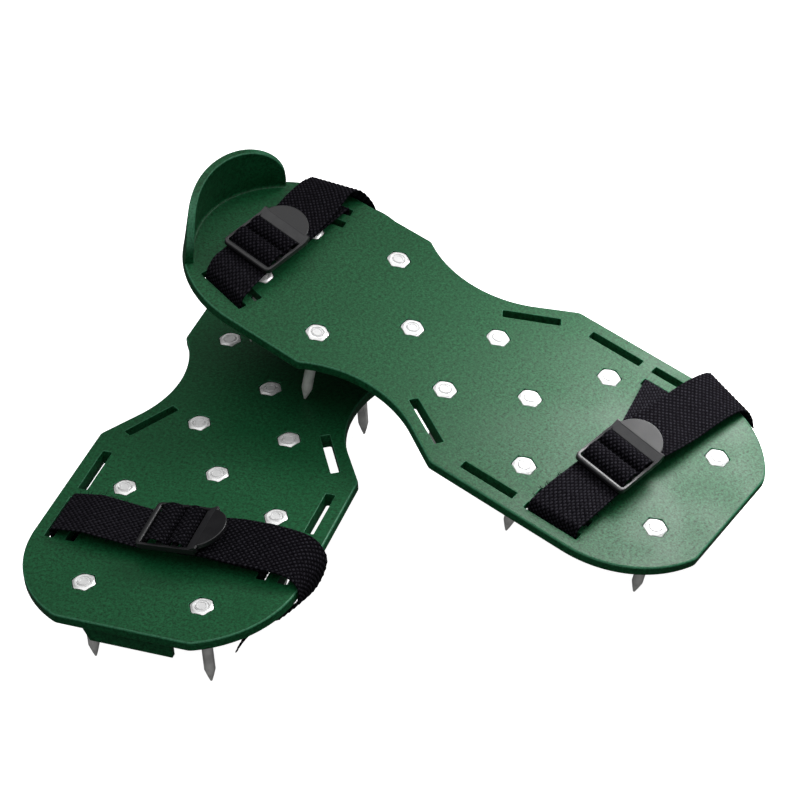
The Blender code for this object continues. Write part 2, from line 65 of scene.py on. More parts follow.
ARC_STEP = math.radians(2.0)
CORNER_ROUNDING = 0.0014
CORNER_STEPS = 6
TOP_EDGE = 0.0010
BOTTOM_EDGE = 0.0007
EDGE_STEPS = 5

# Heel cup
CUP_HEIGHT = 0.0275
CUP_WALL = 0.0038
CUP_HALF_ANGLE = math.radians(47)
CUP_FULLNESS = 2.3
CUP_EDGE = 0.0008
CUP_ROOT = 0.0035
CUP_FILLET = 0.0016
CUP_STEPS = 72

# Toe rib
RIB_HALF_WIDTH = 0.022
RIB_THICKNESS = 0.0028
RIB_SETBACK = 0.003
RIB_DEPTH = 0.0145
RIB_CHAMFER = 0.004
RIB_EDGE = 0.0004

# Strap slots: (x, y) of the middle and lean from the shoe's axis, on the right side
SLOT_LENGTH = 0.0284
SLOT_WIDTH = 0.0046
SLOT_CORNER = 0.0005
SLOT_EDGE = 0.0004
HEEL_SLOT_LEAN = math.radians(13.3)
COLLARED_SLOTS = (("waist", 1), ("waist", -1), ("ball", 1), ("ball", -1), ("toe_outer", -1))
SLOT_COLLAR_WALL = 0.0013
SLOT_COLLAR_DEPTH = 0.0078
SLOTS = {
    "heel_outer": (0.0416, 0.0417, HEEL_SLOT_LEAN),
    "heel_inner": (0.0322, 0.0440, HEEL_SLOT_LEAN),
    "waist": (0.0457, 0.1616, math.radians(31)),
    "ball": (0.0564, 0.2033, 0.0),
    "toe_outer": (0.0572, 0.2384, 0.0),
    "toe_inner": (0.0468, 0.2384, 0.0),
}

# Spikes and nuts
POSITIONS = {
    "rear_right": (0.0208, 0.0490),
    "rear_left": (-0.0208, 0.0490),
    "heel_right": (0.0340, 0.0913),
    "heel_left": (-0.0340, 0.0913),
    "heel_centre": (0.0, 0.1228),
    "waist_right": (0.0230, 0.1569),
    "waist_left": (-0.0230, 0.1569),
    "ball_centre": (0.0, 0.1898),
    "ball_right": (0.0378, 0.2108),
    "ball_left": (-0.0378, 0.2108),
    "toe_right": (0.0286, 0.2762),
    "toe_left": (-0.0286, 0.2762),
}
SPIKE_DEPTH = 0.0454
THREAD_RADIUS = 0.0030
THREAD_TOP = 0.0005
COLLAR_RADIUS = 0.0045
COLLAR_HEIGHT = 0.0012
SHANK_RADIUS = 0.0026
POINT_LENGTH = 0.0075
POINT_RADIUS = 0.0005
SPIKE_SIDES = 28
NUT_FLATS = 0.0100
NUT_HEIGHT = 0.0035
NUT_TOP = 0.0003
NUT_CROWN = 0.84
NUT_REACH = 1.10
NUT_BORE_RADIUS = 0.0031
NUT_SIDES = 72
CROWN_SLOPE = math.tan(math.radians(30))
POCKET_FLATS = 0.0108
POCKET_DEPTH = 0.0035
POCKET_EDGE = 0.0002
HOLE_RADIUS = 0.0034
GAP = 0.0003

# Buckle, in its own frame: x from the hinge bar to the thumb tab, y across, z up
BUCKLE_WIDTH = 0.0284
BUCKLE_LENGTH = 0.0298
RAIL_WIDTH = 0.0015
RAIL_THICKNESS = 0.0030
RAIL_CORNER = 0.0008
HINGE_BAR_RADIUS = 0.0014
CROSS_BAR_RADIUS = 0.0013
CROSS_BARS = (0.0096, 0.0176)
TAB_START = 0.0240
FACET_END = 0.0290
TAB_THICKNESS = 0.0022
TAB_HALF_WIDTH = 0.0120
TAB_RISE = 0.0087
UNDER_SLOPE = 0.19
FACET_SLOPE = 0.44
TAB_SLOPE = 0.15
TAB_EDGE = 0.0005
TAB_LEDGE = 0.0002
FACET_DROP = 0.0008
BAR_REACH = 0.0008
FRAME_CORNER = 0.0016

# Webbing
WEB_WIDTH = 0.026
PINCHED_WIDTH = 0.0248
BUNCHED_WIDTH = 0.0215
BUNCH_Y = 0.0325
HOOK_RADIUS = 0.0030
HOOK_TURNS = (-15, -30, -45, -60, -75)
SLOT_BEND = 0.0024
RUN_DEPTH = -0.0061
RUN_OFFSET = 0.0004
TAIL_DEPTH = 0.0025
FEED_DEPTH = 0.0036
FEED_START = 0.0185
TAIL_SETBACK = 0.001
CREST_BEND = 0.008
SLOT_ENTRY = 0.0036
SLOT_EXIT = 0.0032
FEED_BEND = 0.004
BEND_STEP = math.radians(8)
CURVE_STEPS = 12
WARP_YARNS = 21
PICK = 0.00136
SAMPLES = 4
CORE = 0.00016
EDGE_YARNS = 0.6
EDGE_THINNING = 0.75
YARN_SWING = 0.00024
YARN_ROUND = 0.00034
WEFT_DROP = 0.00026
FILAMENT_WIDTH = 0.00036
FILAMENT_RINGS = 5
FILAMENT_SIDES = 5
FILAMENT_LIFT = 0.3
FRAY_LENGTHS = (0.0009, 0.0028)
FRAY_SAGS = (-0.0014, 0.0014)
FRAY_COUNT = 26
FRAYED_ROWS = {"upper_toe": (34, 104), "lower_toe": (56, 150)}

STRAPS = {
    "upper_toe": {
        "slots": ("toe_outer", "toe_inner"),
        "buckle": (0.0275, 0.2428, 0.0100),
        "turns": (7.5, 2.4, 2.5),
        "crest": (0.0440, 0.2405, 0.0062),
        "tail": (
            ((-0.0165, 0.2500, 0.0094), (0.16, 0.98, -0.10)),
            ((-0.0310, 0.2526, 0.0084), (0.17, 0.97, -0.18)),
            ((-0.0500, 0.2560, 0.0078), (0.22, 0.95, -0.16)),
            ((-0.0640, 0.2593, 0.0046), (0.29, 0.95, -0.10)),
            ((-0.0692, 0.2620, -0.0030), (0.26, 0.96, -0.02)),
            ((-0.0700, 0.2645, -0.0112), (0.22, 0.97, 0.08)),
        ),
    },
    "upper_heel": {
        "slots": ("heel_outer", "heel_outer"),
        "buckle": (0.0249, 0.0415, 0.0100),
        "turns": (4.0, 2.2, 1.9),
        "crest": (0.0350, 0.0416, 0.0068),
        "tail": (
            ((-0.0240, 0.0424, 0.0092), (0.06, 0.99, 0.02)),
            ((-0.0360, 0.0412, 0.0092), (0.00, 0.99, 0.12)),
            ((-0.0452, 0.0404, 0.0082), (-0.05, 0.96, 0.24)),
            ((-0.0528, 0.0408, 0.0038), (-0.15, 0.96, 0.18)),
            ((-0.0568, 0.0452, -0.0038), (-0.20, 0.97, 0.08)),
            ((-0.0582, 0.0500, -0.0124), (-0.16, 0.98, 0.10)),
        ),
    },
    "lower_toe": {
        "slots": ("toe_outer", "toe_inner"),
        "buckle": (0.0105, 0.2423, 0.0096),
        "turns": (0.5, 5.8, 2.9),
        "crest": (0.0400, 0.2400, 0.0074),
        "tail": (
            ((-0.0310, 0.2412, 0.0092), (0.00, 0.98, -0.16)),
            ((-0.0480, 0.2410, 0.0090), (0.04, 0.98, -0.16)),
            ((-0.0622, 0.2412, 0.0066), (0.10, 0.98, -0.12)),
            ((-0.0682, 0.2430, -0.0006), (0.14, 0.98, 0.04)),
            ((-0.0652, 0.2456, -0.0112), (0.04, 0.95, 0.30)),
            ((-0.0572, 0.2490, -0.0186), (0.05, 0.88, 0.47)),
            ((-0.0487, 0.2536, -0.0242), (0.05, 0.80, 0.60)),
            ((-0.0398, 0.2589, -0.0291), (-0.06, 0.99, 0.07)),
        ),
    },
    "lower_heel": {
        "slots": ("heel_outer", "heel_outer"),
        "buckle": (0.0249, 0.0410, 0.0100),
        "turns": (0.0, 2.0, 0.0),
        "crest": (0.0350, 0.0414, 0.0068),
        "tail": (
            ((-0.0240, 0.0410, 0.0096), (0.00, 1.00, 0.00)),
            ((-0.0420, 0.0405, 0.0090), (0.00, 1.00, 0.00)),
            ((-0.0545, 0.0400, 0.0048), (0.00, 1.00, 0.00)),
            ((-0.0590, 0.0400, -0.0030), (0.00, 1.00, 0.00)),
            ((-0.0600, 0.0400, -0.0120), (0.00, 1.00, 0.00)),
        ),
    },
}

# The webbing over a buckle's two cross bars: (x, z) in the buckle's frame
HUMPS = (
    (0.0030, -0.0010),
    (0.0031, 0.0006),
    (0.0042, 0.0025),
    (0.0070, 0.0036),
    (0.0102, 0.0034),
    (0.0122, 0.0020),
    (0.0129, 0.0002),
    (0.0139, -0.0014),
    (0.0149, 0.0002),
    (0.0158, 0.0022),
    (0.0180, 0.0034),
    (0.0206, 0.0032),
    (0.0225, 0.0016),
    (0.0229, -0.0004),
    (0.0229, -0.0018),
)

# Where the shoes stand
LOWER_HEEL_END = (0.08806, -0.15000)
UPPER_HEEL_OFFSET = (0.0469, 0.0740)
UPPER_TURN = math.radians(75.5)

# Camera
CAMERA_PLACE = (-0.36198639, 0.92356657, 0.85697792)
CAMERA_RIGHT = (-0.94082927, -0.33484161, -0.05216683)
CAMERA_UP = (0.16866888, -0.59620732, 0.78491251)
CAMERA_LENS = 123.512
SENSOR = 36.0

# Light: the sky's (start, end) height on the unit sphere and (low, high) strength, then soft boxes in the
# direction that the upper toe mirrors to the camera, as (distance, side, radiance, spread), and a low fill
# from the camera's side, as (distance, side, radiance, height angle)
SKY = (0.55, 1.0, 0.06, 1.80)
NEAR_BOX = (0.30, 0.17, 6.2, math.radians(100))
FAR_BOX = (1.00, 0.36, 5.0, math.radians(180))
FRONT_BOX = (1.60, 0.80, 1.6, math.radians(14))
TOE_AIM_Y = 0.285
FLOOR_WHITE = 0.92
FLOOR_GLOW = 0.95
FLOOR_RADIUS = 2.2
FLOOR_BEND = 1.2
WALL_HEIGHT = 4.0
FLOOR_DROP = 0.0003
FLOOR_SIDES = 96
FLOOR_STEPS = 12


# --- mesh helpers


def loft(bm, rings, closed_ends=True):
    """Skins a list of rings with the same number of points."""
    made = [[bm.verts.new(point) for point in ring] for ring in rings]
    count = len(made[0])
    for low, high in zip(made, made[1:]):
        for i in range(count):
            j = (i + 1) % count
            bm.faces.new((low[i], low[j], high[j], high[i]))
    if closed_ends:
        bm.faces.new(made[0][::-1])
        bm.faces.new(made[-1])
    return made


def mesh_from(bm, name, finish=None, smooth_angle=None):
    bmesh.ops.recalc_face_normals(bm, faces=bm.faces)
    mesh = bpy.data.meshes.new(name)
    bm.to_mesh(mesh)
    bm.free()
    if finish is not None:
        mesh.materials.append(finish)
    if smooth_angle is not None:
        mesh.shade_smooth()
        mesh.set_sharp_from_angle(angle=smooth_angle)
    return mesh


def new_object(name, data, matrix=None):
    obj = bpy.data.objects.new(name, data)
    bpy.context.scene.collection.objects.link(obj)
    if matrix is not None:
        obj.matrix_world = matrix
    return obj


def combined(base, steps, finish, smooth_angle):
    """The base mesh after a list of (tool bmesh, Boolean operation)."""
    obj = new_object("base", mesh_from(base, "base"))
    for bm, operation in steps:
        tool = new_object("tool", mesh_from(bm, "tool"))
        step = obj.modifiers.new("shape", "BOOLEAN")
        step.operation = operation
        step.object = tool
        bpy.context.view_layer.update()
        graph = bpy.context.evaluated_depsgraph_get()
        shaped = bpy.data.meshes.new_from_object(obj.evaluated_get(graph))
        obj.modifiers.remove(step)
        obj.data = shaped
        bpy.data.objects.remove(tool, do_unlink=True)
    mesh = obj.data
    bpy.data.objects.remove(obj, do_unlink=True)
    mesh.materials.clear()
    mesh.materials.append(finish)
    mesh.shade_smooth()
    mesh.set_sharp_from_angle(angle=smooth_angle)
    return mesh


def arc(centre, radius, start, end):
    count = max(1, math.ceil(abs(end - start) / ARC_STEP))
    angles = [start + (end - start) * i / count for i in range(count + 1)]
    return [(centre[0] + radius * math.cos(a), centre[1] + radius * math.sin(a)) for a in angles]


def polygon(centre, radius, sides, turn=0.0):
    angles = [turn + 2 * math.pi * i / sides for i in range(sides)]
    return [(centre[0] + radius * math.cos(a), centre[1] + radius * math.sin(a)) for a in angles]


def quarter(steps):
    """(inset share, height share) pairs round a quarter circle, from the side to the top."""
    turns = [math.pi / 2 * i / steps for i in range(steps + 1)]
    return [(1 - math.cos(turn), math.sin(turn)) for turn in turns]


# --- sole


def softened(points, corners):
    """The outline with each listed corner replaced by a small curve."""
    kept = []
    for i, point in enumerate(points):
        near = [Vector(c) for c in corners if (Vector(c) - Vector(point)).length < CORNER_ROUNDING * 1.02]
        if not near:
            kept.append(point)
            continue
        if point not in corners:
            continue
        corner = Vector(point)
        before = Vector(kept[-1])
        after = next(Vector(p) for p in points[i + 1 :] if (Vector(p) - corner).length > CORNER_ROUNDING)
        start = corner + (before - corner).normalized() * CORNER_ROUNDING
        end = corner + (after - corner).normalized() * CORNER_ROUNDING
        for k in range(CORNER_STEPS + 1):
            t = k / CORNER_STEPS
            kept.append(tuple(start * (1 - t) ** 2 + corner * (2 * t * (1 - t)) + end * t**2))
    return kept


def half_outline():
    """The right side of the sole, from the heel end's middle to the toe end's middle."""
    heel = arc((0, HEEL_RADIUS), HEEL_RADIUS, -math.pi / 2, 0.0)
    rise = WAIST_START_Y - WAIST_CENTRE[1]
    waist_start = math.pi - math.asin(rise / WAIST_RADIUS)
    to_corner = Vector(BALL_CORNER) - Vector(WAIST_CENTRE)
    tangent = math.acos(WAIST_RADIUS / to_corner.length)
    waist_end = math.atan2(to_corner.y, to_corner.x) + tangent
    waist = arc(WAIST_CENTRE, WAIST_RADIUS, waist_start, waist_end)
    toe_centre = (BALL_HALF_WIDTH - TOE_ARC_RADIUS, TOE_ARC_Y)
    toe = arc(toe_centre, TOE_ARC_RADIUS, 0.0, math.asin((SOLE_LENGTH - TOE_ARC_Y) / TOE_ARC_RADIUS))
    points = heel + waist + [BALL_CORNER] + toe + [(0, SOLE_LENGTH)]
    return softened(points, [waist[0], BALL_CORNER, toe[-1]])


def sole_outline():
    right = half_outline()
    return right + [(-x, y) for x, y in right[-2:0:-1]]


def inset(outline, amount):
    moved = []
    for i, point in enumerate(outline):
        along = Vector(outline[(i + 1) % len(outline)]) - Vector(outline[i - 1])
        inward = Vector((-along.y, along.x)).normalized()
        moved.append(tuple(Vector(point) + inward * amount))
    return moved


def sole_plate():
    outline = sole_outline()
    bottom = -SOLE_THICKNESS
    edge = quarter(EDGE_STEPS)
    levels = [(bottom + BOTTOM_EDGE * (1 - up), BOTTOM_EDGE * side) for side, up in reversed(edge)]
    levels += [(TOP_EDGE * (up - 1), TOP_EDGE * side) for side, up in edge]
    bm = bmesh.new()
    loft(bm, [[(x, y, z) for x, y in inset(outline, amount)] for z, amount in levels])
    return bm


def cup_height(share):
    return CUP_HEIGHT * max(0.0, 1 - share**CUP_FULLNESS) ** (1 / CUP_FULLNESS)


def cup_section(angle):
    """The cup wall's section at an angle from the heel's middle, with a rounded rim and a fillet inside."""
    rise = max(cup_height(abs(angle) / CUP_HALF_ANGLE), CUP_EDGE)
    outer = HEEL_RADIUS - 0.0001
    inner = outer - CUP_WALL
    rim = quarter(EDGE_STEPS)
    fillet = CUP_FILLET * min(1.0, rise / (3 * CUP_FILLET))
    section = [(outer, -CUP_ROOT)]
    section += [(outer - CUP_EDGE * side, rise - CUP_EDGE * (1 - up)) for side, up in rim]
    section += [(inner + CUP_EDGE * side, rise - CUP_EDGE * (1 - up)) for side, up in reversed(rim)]
    section += [(inner - fillet * side, fillet * (1 - up) - 0.00002) for side, up in rim]
    section += [(inner - fillet, -CUP_ROOT)]
    sine, cosine = math.sin(angle), math.cos(angle)
    return [(r * sine, HEEL_RADIUS - r * cosine, z) for r, z in section]


def heel_cup():
    bm = bmesh.new()
    shares = [math.sin(math.pi / 2 * (2 * i / CUP_STEPS - 1)) for i in range(CUP_STEPS + 1)]
    loft(bm, [cup_section(share * CUP_HALF_ANGLE) for share in shares])
    return bm


def toe_rib():
    bm = bmesh.new()
    front = SOLE_LENGTH - RIB_SETBACK
    top = -SOLE_THICKNESS / 2
    profile = (
        (-RIB_HALF_WIDTH, top),
        (-RIB_HALF_WIDTH, -RIB_DEPTH),
        (RIB_HALF_WIDTH - RIB_CHAMFER, -RIB_DEPTH),
        (RIB_HALF_WIDTH, -SOLE_THICKNESS - RIB_EDGE),
        (RIB_HALF_WIDTH, top),
    )
    loft(bm, [[(x, y, z) for x, z in profile] for y in (front - RIB_THICKNESS, front)])
    bmesh.ops.bevel(bm, geom=bm.edges[:], offset=RIB_EDGE, segments=3, profile=0.5, affect="EDGES")
    return bm


def slot_place(name, side):
    x, y, lean = SLOTS[name]
    return Vector((side * x, y)), Vector((side * math.sin(lean), math.cos(lean)))


def slot_ring(name, side, grow, z):
    """A slot's rounded outline, grown by an amount."""
    middle, along = slot_place(name, side)
    across = Vector((along.y, -along.x))
    radius = SLOT_CORNER + grow
    half = SLOT_LENGTH / 2 - SLOT_CORNER
    wide = SLOT_WIDTH / 2 - SLOT_CORNER
    ring = []
    for quadrant, (u, v) in enumerate(((1, 1), (-1, 1), (-1, -1), (1, -1))):
        for k in range(4):
            turn = math.pi / 2 * (quadrant + k / 3)
            length = u * half + radius * math.cos(turn)
            breadth = v * wide + radius * math.sin(turn)
            at = middle + along * length + across * breadth
            ring.append((at.x, at.y, z))
    return ring


def openings():
    """The slots and nut pockets, with eased top edges."""
    bm = bmesh.new()
    floor = -SOLE_THICKNESS
    eased = [(SLOT_EDGE * (up - 1), SLOT_EDGE * side) for side, up in quarter(3)]
    levels = [(2 * floor, SLOT_EDGE), (floor, SLOT_EDGE), (floor + SLOT_EDGE, 0.0)]
    levels += eased + [(SOLE_THICKNESS, SLOT_EDGE)]
    for name in SLOTS:
        for side in (1, -1):
            loft(bm, [slot_ring(name, side, grow, z) for z, grow in levels])
    radius = POCKET_FLATS / 2 / math.cos(math.pi / 6)
    for centre in POSITIONS.values():
        steps = ((-POCKET_DEPTH, 0.0), (-POCKET_EDGE, 0.0), (0.0, POCKET_EDGE), (SOLE_THICKNESS, POCKET_EDGE))
        loft(bm, [[(x, y, z) for x, y in polygon(centre, radius + grow, 6)] for z, grow in steps])
    return bm


def slot_collars():
    """Stiffening walls under the sole, round the slots that no webbing runs below."""
    bm = bmesh.new()
    levels = (-SLOT_COLLAR_DEPTH, -SOLE_THICKNESS / 2)
    for name, side in COLLARED_SLOTS:
        loft(bm, [slot_ring(name, side, SLOT_COLLAR_WALL, z) for z in levels])
    return bm


def spike_holes():
    bm = bmesh.new()
    for centre in POSITIONS.values():
        ring = polygon(centre, HOLE_RADIUS, SPIKE_SIDES)
        loft(bm, [[(x, y, z) for x, y in ring] for z in (-2 * SOLE_THICKNESS, -SOLE_THICKNESS / 2)])
    return bm


def sole_mesh(finish):
    steps = (
        (heel_cup(), "UNION"),
        (toe_rib(), "UNION"),
        (slot_collars(), "UNION"),
        (openings(), "DIFFERENCE"),
        (spike_holes(), "DIFFERENCE"),
    )
    return combined(sole_plate(), steps, finish, math.radians(34))


# --- nuts and spikes


def turned(rings, sides, name, finish, smooth_angle):
    bm = bmesh.new()
    loft(bm, [[(x, y, z) for x, y in polygon((0, 0), radius, sides)] for radius, z in rings])
    return mesh_from(bm, name, finish, math.radians(smooth_angle))


def spike_mesh(finish):
    """A turned spike: chamfered screw end, collar, shank, and a ground point."""
    collar = -SOLE_THICKNESS - GAP
    foot = collar - COLLAR_HEIGHT
    ease = 0.0002
    rings = (
        (THREAD_RADIUS - 0.0012, THREAD_TOP - 0.0002),
        (THREAD_RADIUS - 0.0010, THREAD_TOP),
        (THREAD_RADIUS - 0.0005, THREAD_TOP),
        (THREAD_RADIUS, THREAD_TOP - 0.0005),
        (THREAD_RADIUS, collar),
        (COLLAR_RADIUS - ease, collar),
        (COLLAR_RADIUS, collar - ease),
        (COLLAR_RADIUS, foot + ease),
        (COLLAR_RADIUS - ease, foot),
        (SHANK_RADIUS + 2 * ease, foot),
        (SHANK_RADIUS, foot - 3 * ease),
        (SHANK_RADIUS, POINT_LENGTH - SPIKE_DEPTH),
        (SHANK_RADIUS * 0.55, POINT_LENGTH * 0.42 - SPIKE_DEPTH),
        (POINT_RADIUS, -SPIKE_DEPTH + ease),
        (POINT_RADIUS * 0.5, -SPIKE_DEPTH),
    )
    return turned(rings, SPIKE_SIDES, "spike", finish, 32)


def nut_mesh(finish):
    """A hex nut: coned corners, a flat crown and a countersunk bore."""
    flat = NUT_FLATS / 2
    crown = flat * NUT_CROWN
    bottom = NUT_TOP - NUT_HEIGHT
    sink = 0.0003
    rings = [[] for _ in range(7)]
    for i in range(NUT_SIDES):
        turn = 2 * math.pi * i / NUT_SIDES
        from_flat = (turn % (math.pi / 3)) - math.pi / 6
        reach = flat * min(1 / math.cos(from_flat), NUT_REACH)
        shoulder = NUT_TOP - (reach - crown) * CROWN_SLOPE
        levels = (
            (NUT_BORE_RADIUS, bottom),
            (crown, bottom),
            (reach, bottom + (reach - crown) * CROWN_SLOPE),
            (reach, shoulder),
            (crown, NUT_TOP),
            (NUT_BORE_RADIUS + sink, NUT_TOP),
            (NUT_BORE_RADIUS, NUT_TOP - sink * 1.5),
        )
        for ring, (radius, z) in zip(rings, levels):
            ring.append((radius * math.cos(turn), radius * math.sin(turn), z))
    bm = bmesh.new()
    made = loft(bm, rings, closed_ends=False)
    for i in range(NUT_SIDES):
        j = (i + 1) % NUT_SIDES
        bm.faces.new((made[-1][i], made[-1][j], made[0][j], made[0][i]))
    return mesh_from(bm, "nut", finish, math.radians(18))


# --- buckle


def oval(half_width, half_height, power, count=20):
    """Points of a rounded section: an ellipse at power 2, nearly a rectangle at 6."""
    points = []
    for i in range(count):
        turn = 2 * math.pi * (i + 0.5) / count
        c, s = math.cos(turn), math.sin(turn)
        u = math.copysign(abs(c) ** (2 / power), c) * half_width
        v = math.copysign(abs(s) ** (2 / power), s) * half_height
        points.append((u, v))
    return points


def frame_path():
    """The frame's centreline: one rail, the hinge bar, the other rail. Rows of (x, y, section blend)."""
    side = BUCKLE_WIDTH / 2 - RAIL_WIDTH / 2
    end = BUCKLE_LENGTH - 0.0012
    radius = FRAME_CORNER
    path = [(end, -side, 0.0), (radius + 0.002, -side, 0.0), (radius, -side, 0.0)]
    for k in range(1, 8):
        turn = math.pi / 2 * k / 8
        path.append((radius - radius * math.sin(turn), -side + radius * (1 - math.cos(turn)), k / 8))
    path.append((0.0, -side + radius, 1.0))
    return path + [(x, -y, share) for x, y, share in reversed(path)]


def buckle_frame_body():
    path = frame_path()
    rings = []
    for i, (x, y, share) in enumerate(path):
        before, after = path[max(i - 1, 0)], path[min(i + 1, len(path) - 1)]
        along = Vector((after[0] - before[0], after[1] - before[1])).normalized()
        across = Vector((-along.y, along.x))
        wide = RAIL_WIDTH / 2 + (HINGE_BAR_RADIUS - RAIL_WIDTH / 2) * share
        tall = RAIL_THICKNESS / 2 + (HINGE_BAR_RADIUS - RAIL_THICKNESS / 2) * share
        section = oval(wide, tall, 6 - 3.4 * share)
        rings.append([(x + across.x * u, y + across.y * u, v) for u, v in section])
    bm = bmesh.new()
    loft(bm, rings)
    return bm


def cross_bar(x):
    bm = bmesh.new()
    half = BUCKLE_WIDTH / 2 - RAIL_WIDTH / 2
    section = oval(CROSS_BAR_RADIUS, CROSS_BAR_RADIUS, 2.6, 18)
    loft(bm, [[(x + u, y, v) for u, v in section] for y in (-half, half)])
    return bm


def tab_top(x):
    """Height of the top face: a steep facet over the end bar, then the flatter thumb tab."""
    start = RAIL_THICKNESS / 2 - FACET_DROP
    if x < FACET_END:
        return start + (x - TAB_START) * FACET_SLOPE
    return start + (FACET_END - TAB_START) * FACET_SLOPE + (x - FACET_END) * TAB_SLOPE


def tab_bottom(x):
    return RAIL_THICKNESS / 2 - TAB_LEDGE - TAB_THICKNESS + max(0.0, x - TAB_START) * UNDER_SLOPE


def end_bar():
    """The bar below the thumb tab: its sloping facet runs from rail to rail."""
    ease = 0.0003
    back = FACET_END + BAR_REACH
    profile = (
        (TAB_START + ease, tab_bottom(TAB_START)),
        (back, tab_bottom(back)),
        (back, tab_top(FACET_END) - ease),
        (FACET_END, tab_top(FACET_END)),
        (TAB_START + ease, tab_top(TAB_START + ease)),
        (TAB_START, tab_top(TAB_START) - ease),
        (TAB_START, tab_bottom(TAB_START) + ease),
    )
    half = BUCKLE_WIDTH / 2 - 0.0002
    bm = bmesh.new()
    loft(bm, [[(x, y, z) for x, z in profile] for y in (-half, half)])
    return bm


def thumb_tab():
    reach = (TAB_HALF_WIDTH**2 + TAB_RISE**2) / (2 * TAB_RISE)
    sweep = math.asin(TAB_HALF_WIDTH / reach)
    centre = (BUCKLE_LENGTH + TAB_RISE - reach, 0)
    root = FACET_END - 0.0006
    outline = [(root, -TAB_HALF_WIDTH)] + arc(centre, reach, -sweep, sweep) + [(root, TAB_HALF_WIDTH)]
    rings = []
    edge = quarter(4)
    for side, up in reversed(edge):
        rise = TAB_EDGE * (1 - up)
        rings.append([(x, y, tab_bottom(x) + rise) for x, y in inset(outline, TAB_EDGE * side)])
    for side, up in edge:
        drop = TAB_EDGE * (1 - up)
        rings.append([(x, y, tab_top(max(x, FACET_END)) - drop) for x, y in inset(outline, TAB_EDGE * side)])
    bm = bmesh.new()
    loft(bm, rings)
    return bm


def buckle_mesh(finish):
    steps = [(cross_bar(x), "UNION") for x in CROSS_BARS]
    steps += [(end_bar(), "UNION"), (thumb_tab(), "UNION")]
    return combined(buckle_frame_body(), steps, finish, math.radians(30))


def buckle_frame(strap):
    """The buckle's place in the shoe's frame."""
    yaw, pitch, roll = (math.radians(turn) for turn in strap["turns"])
    turned_by = Euler((roll, -pitch, math.pi - yaw)).to_matrix().to_4x4()
    return Matrix.Translation(strap["buckle"]) @ turned_by


# --- webbing


def bent_path(stations):
    """Centres, width directions and half widths along straight runs with rounded corners."""
    path = []
    for i, (point, radius, wide, width) in enumerate(stations):
        if not radius or i in (0, len(stations) - 1):
            path.append((point, wide, width / 2))
            continue
        back = (stations[i - 1][0] - point).normalized()
        ahead = (stations[i + 1][0] - point).normalized()
        turn = math.pi - back.angle(ahead)
        cut = radius * math.tan(turn / 2)
        middle = point + (back + ahead).normalized() * math.hypot(radius, cut)
        first = point + back * cut - middle
        axis = first.cross(point + ahead * cut - middle).normalized()
        count = max(2, math.ceil(turn / BEND_STEP))
        for k in range(count + 1):
            path.append((middle + Matrix.Rotation(turn * k / count, 3, axis) @ first, wide, width / 2))
    return path


def curve_path(stations, steps):
    """A smooth curve through (point, width direction, width) stations."""
    path = []
    last = len(stations) - 1
    for i in range(last):
        spans = [stations[min(max(k, 0), last)] for k in (i - 1, i, i + 1, i + 2)]
        for step in range(steps if i < last - 1 else steps + 1):
            t = step / steps
            weights = (
                (-t + 2 * t**2 - t**3) / 2,
                (2 - 5 * t**2 + 3 * t**3) / 2,
                (t + 4 * t**2 - 3 * t**3) / 2,
                (t**3 - t**2) / 2,
            )
            point = sum((station[0] * w for station, w in zip(spans, weights)), Vector())
            wide = spans[1][1].lerp(spans[2][1], t).normalized()
            width = spans[1][2] + (spans[2][2] - spans[1][2]) * t
            path.append((point, wide, width / 2))
    return path


def widened(path):
    lengthened = []
    for i, (point, wide, half) in enumerate(path):
        along = path[min(i + 1, len(path) - 1)][0] - path[max(i - 1, 0)][0]
        lengthened.append((point, wide, half / math.sin(along.angle(wide))))
    return lengthened


def main_run(strap, place):
    """Webbing from the hinge bar down one slot, under the sole, up the other and back under the tab."""
    across = -place.col[1].to_3d()
    near_slot, near_wide = slot_place(strap["slots"][0], 1)
    far_slot, far_wide = slot_place(strap["slots"][1], -1)
    near = near_slot.to_3d() - Vector((RUN_OFFSET, 0, 0))
    far = far_slot.to_3d() + Vector((RUN_OFFSET, 0, 0))
    near_wide, far_wide = near_wide.to_3d(), far_wide.to_3d()
    up = Vector((0, 0, 1))
    hook = [(place @ Vector((HOOK_RADIUS, 0, 0)), 0.0, across, PINCHED_WIDTH)]
    for degrees in HOOK_TURNS:
        angle = math.radians(degrees)
        point = place @ Vector((HOOK_RADIUS * math.cos(angle), 0, HOOK_RADIUS * math.sin(angle)))
        hook.append((point, 0.0, across, PINCHED_WIDTH))
    crest = Vector(strap["crest"])
    run = hook + [
        (place @ Vector((-RAIL_CORNER, 0, -HOOK_RADIUS)), 0.0, across, PINCHED_WIDTH),
        (crest, CREST_BEND, (across + near_wide).normalized(), WEB_WIDTH),
        (near + up * SLOT_ENTRY, SLOT_BEND, near_wide, WEB_WIDTH),
        (near + up * RUN_DEPTH, SLOT_BEND, near_wide, WEB_WIDTH),
    ]
    if strap["slots"][0] == "heel_outer":
        reach = POSITIONS["rear_right"][0] + COLLAR_RADIUS
        for side in (1, -1):
            bunched = Vector((side * reach, BUNCH_Y, RUN_DEPTH))
            run.append((bunched, 0.0, Vector((0, 1, 0)), BUNCHED_WIDTH))
    feed = [place @ Vector((x, 0, -FEED_DEPTH)) for x in (BUCKLE_LENGTH, FEED_START)]
    run += [
        (far + up * RUN_DEPTH, SLOT_BEND, far_wide, WEB_WIDTH),
        (far + up * SLOT_EXIT, SLOT_BEND, far_wide, WEB_WIDTH),
        (feed[0], FEED_BEND, across, PINCHED_WIDTH),
        (feed[1], 0.0, across, PINCHED_WIDTH),
    ]
    return bent_path(run)


